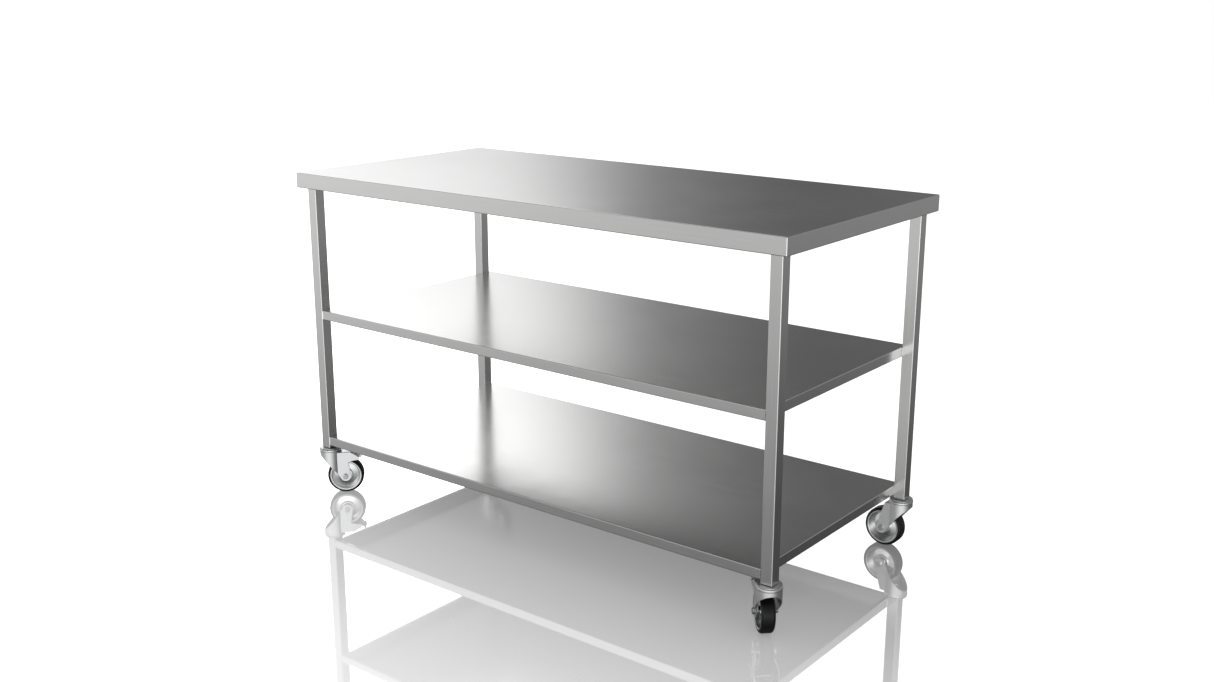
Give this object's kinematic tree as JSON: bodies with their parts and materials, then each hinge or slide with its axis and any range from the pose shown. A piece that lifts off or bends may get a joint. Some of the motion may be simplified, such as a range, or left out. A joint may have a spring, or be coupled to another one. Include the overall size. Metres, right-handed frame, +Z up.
{
  "type": "stainless work table",
  "caption": "Stainless steel work table with folded worktop, square tube legs and two open under-shelves, on swivel casters with wheel brakes at the front.",
  "frame": {"origin": "on the floor under the centre of the worktop", "axes": "+X along the length of the worktop, +Y from the front to the back, +Z up"},
  "size_m": [1.5, 0.7, 0.9],
  "materials": {
    "stainless_sheet": "satin brushed stainless sheet",
    "stainless_tube": "satin ground stainless tube",
    "weld_metal": "ground stainless weld",
    "laminated_board": "melamine faced chipboard",
    "zinc_plate": "zinc-plated pressed steel",
    "rim_steel": "zinc-plated rim",
    "plated_screw": "plated fastener steel",
    "spring_steel": "tempered spring steel",
    "ball_steel": "polished bearing steel",
    "black_rubber": "solid black rubber",
    "black_plastic": "black moulded plastic",
    "nylon": "natural nylon"
  },
  "bodies": {
    "table": {"board_screws": "plated_screw", "bottom_shelf": "stainless_sheet", "caster_bolts": "plated_screw", "caster_king_sleeves": "zinc_plate", "caster_lower_cups": "zinc_plate", "caster_top_cups": "zinc_plate", "leg_front_left": "stainless_tube", "leg_front_right": "stainless_tube", "leg_plug_nuts": "plated_screw", "leg_plugs": "black_plastic", "leg_rear_left": "stainless_tube", "leg_rear_right": "stainless_tube", "mid_shelf": "stainless_sheet", "shelf_welds": "weld_metal", "top_rails_cross": "stainless_tube", "top_rails_long": "stainless_tube", "worktop_board": "laminated_board", "worktop_pan": "stainless_sheet"},
    "swivel_front_left": {"axle_bolt_front_left": "plated_screw", "axle_nut_front_left": "plated_screw", "axle_sleeve_front_left": "plated_screw", "brake_pin_front_left": "zinc_plate", "brake_spring_front_left": "spring_steel", "fork_front_left": "zinc_plate", "head_balls_front_left": "ball_steel"},
    "wheel_front_left": {"wheel_bush_front_left": "nylon", "wheel_rim_front_left": "rim_steel", "wheel_tread_front_left": "black_rubber"},
    "brake_front_left": {"brake_pedal_front_left": "zinc_plate", "brake_shoe_front_left": "zinc_plate"},
    "swivel_front_right": {"axle_bolt_front_right": "plated_screw", "axle_nut_front_right": "plated_screw", "axle_sleeve_front_right": "plated_screw", "brake_pin_front_right": "zinc_plate", "brake_spring_front_right": "spring_steel", "fork_front_right": "zinc_plate", "head_balls_front_right": "ball_steel"},
    "wheel_front_right": {"wheel_bush_front_right": "nylon", "wheel_rim_front_right": "rim_steel", "wheel_tread_front_right": "black_rubber"},
    "brake_front_right": {"brake_pedal_front_right": "zinc_plate", "brake_shoe_front_right": "zinc_plate"},
    "swivel_rear_left": {"axle_bolt_rear_left": "plated_screw", "axle_nut_rear_left": "plated_screw", "axle_sleeve_rear_left": "plated_screw", "fork_rear_left": "zinc_plate", "head_balls_rear_left": "ball_steel"},
    "wheel_rear_left": {"wheel_bush_rear_left": "nylon", "wheel_rim_rear_left": "rim_steel", "wheel_tread_rear_left": "black_rubber"},
    "swivel_rear_right": {"axle_bolt_rear_right": "plated_screw", "axle_nut_rear_right": "plated_screw", "axle_sleeve_rear_right": "plated_screw", "fork_rear_right": "zinc_plate", "head_balls_rear_right": "ball_steel"},
    "wheel_rear_right": {"wheel_bush_rear_right": "nylon", "wheel_rim_rear_right": "rim_steel", "wheel_tread_rear_right": "black_rubber"}
  },
  "joints": [
    {"name": "front_left_swivel", "type": "hinge", "parent": "table", "child": "swivel_front_left", "pos_m": [-0.715, -0.315, 0.13], "axis": [0, 0, 1], "continuous": true},
    {"name": "front_left_wheel", "type": "hinge", "parent": "swivel_front_left", "child": "wheel_front_left", "pos_m": [-0.68637, -0.28706, 0.05], "axis": [-0.6984, 0.7157, 0], "continuous": true},
    {"name": "front_left_brake", "type": "hinge", "parent": "swivel_front_left", "child": "brake_front_left", "pos_m": [-0.6878, -0.28846, 0.1095], "axis": [-0.6984, 0.7157, 0], "range_deg": [0, 9]},
    {"name": "front_right_swivel", "type": "hinge", "parent": "table", "child": "swivel_front_right", "pos_m": [0.715, -0.315, 0.13], "axis": [0, 0, 1], "continuous": true},
    {"name": "front_right_wheel", "type": "hinge", "parent": "swivel_front_right", "child": "wheel_front_right", "pos_m": [0.68706, -0.28637, 0.05], "axis": [-0.7157, -0.6984, 0], "continuous": true},
    {"name": "front_right_brake", "type": "hinge", "parent": "swivel_front_right", "child": "brake_front_right", "pos_m": [0.68846, -0.2878, 0.1095], "axis": [-0.7157, -0.6984, 0], "range_deg": [0, 9]},
    {"name": "rear_left_swivel", "type": "hinge", "parent": "table", "child": "swivel_rear_left", "pos_m": [-0.715, 0.315, 0.13], "axis": [0, 0, 1], "continuous": true},
    {"name": "rear_left_wheel", "type": "hinge", "parent": "swivel_rear_left", "child": "wheel_rear_left", "pos_m": [-0.67504, 0.31674, 0.05], "axis": [-0.0436, 0.999, 0], "continuous": true},
    {"name": "rear_right_swivel", "type": "hinge", "parent": "table", "child": "swivel_rear_right", "pos_m": [0.715, 0.315, 0.13], "axis": [0, 0, 1], "continuous": true},
    {"name": "rear_right_wheel", "type": "hinge", "parent": "swivel_rear_right", "child": "wheel_rear_right", "pos_m": [0.67501, 0.3157, 0.05], "axis": [-0.0175, -0.9998, 0], "continuous": true}
  ]
}
